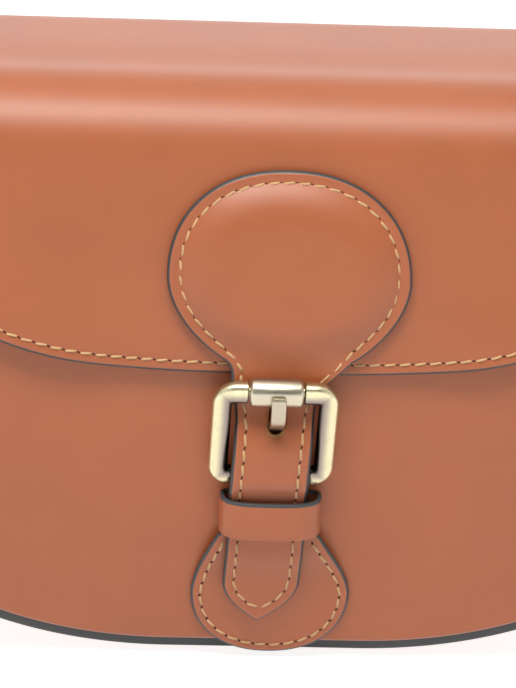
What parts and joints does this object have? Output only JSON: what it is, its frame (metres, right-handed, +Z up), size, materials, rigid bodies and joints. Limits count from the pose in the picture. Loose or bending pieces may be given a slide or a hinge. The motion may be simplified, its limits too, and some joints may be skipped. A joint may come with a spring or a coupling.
{
  "type": "flap handbag",
  "caption": "Structured leather saddle bag with a curved flap, a padded keyhole tab, and a strap closed by a roller buckle and keeper.",
  "frame": {"origin": "middle of the bottom of the bounding box, on the surface that the bag stands on", "axes": "+Z up, +X to the right seen from the front, -Y out of the front with the buckle"},
  "size_m": [0.237, 0.0894, 0.17],
  "materials": {
    "tan_leather": "smooth semi-matt cognac calf leather",
    "painted_edge": "dark grey edge paint on leather, smooth and slightly domed",
    "lining": "matt brown split leather",
    "padding": "hidden pad of pressed foam",
    "antique_brass": "brushed antique brass with a darker patina in the corners"
  },
  "bodies": {
    "bag": {"front_panel": "tan_leather", "back_panel": "tan_leather", "gusset": "tan_leather", "front_welt": "painted_edge", "back_welt": "painted_edge", "front_lining": "lining", "back_lining": "lining", "gusset_lining": "lining", "chape_patch": "tan_leather", "keeper": "tan_leather", "side_tab_left": "tan_leather", "side_tab_right": "tan_leather", "rivet_left": "antique_brass", "rivet_right": "antique_brass"},
    "flap_assembly": {"flap": "tan_leather", "flap_lining": "lining", "closure_tab": "tan_leather", "tab_padding": "padding", "strap": "tan_leather"},
    "buckle": {"buckle_frame": "antique_brass"},
    "buckle_roller": {"roller": "antique_brass"},
    "buckle_prong": {"prong": "antique_brass"},
    "left_ring": {"d_ring_left": "antique_brass"},
    "right_ring": {"d_ring_right": "antique_brass"}
  },
  "joints": [
    {"name": "flap_hinge", "type": "hinge", "parent": "bag", "child": "flap_assembly", "pos_m": [0, 0.0452, 0.1523], "axis": [-1, 0, 0], "range_deg": [0, 180], "deforming": ["strap"]},
    {"name": "buckle_swing", "type": "hinge", "parent": "bag", "child": "buckle", "pos_m": [0, -0.02888, 0.0563], "axis": [1, 0, 0], "range_deg": [0, 80]},
    {"name": "roller_spin", "type": "hinge", "parent": "buckle", "child": "buckle_roller", "pos_m": [0, -0.03863, 0.08086], "axis": [1, 0, 0], "continuous": true},
    {"name": "prong_swing", "type": "hinge", "parent": "buckle", "child": "buckle_prong", "pos_m": [0, -0.02888, 0.0563], "axis": [1, 0, 0], "range_deg": [0, 40]},
    {"name": "right_ring_swing", "type": "hinge", "parent": "bag", "child": "right_ring", "pos_m": [0.1138, 0.0072, 0.143], "axis": [0, -1, 0], "range_deg": [0, 120]},
    {"name": "left_ring_swing", "type": "hinge", "parent": "bag", "child": "left_ring", "pos_m": [-0.1138, 0.0072, 0.143], "axis": [0, 1, 0], "range_deg": [0, 120]}
  ]
}
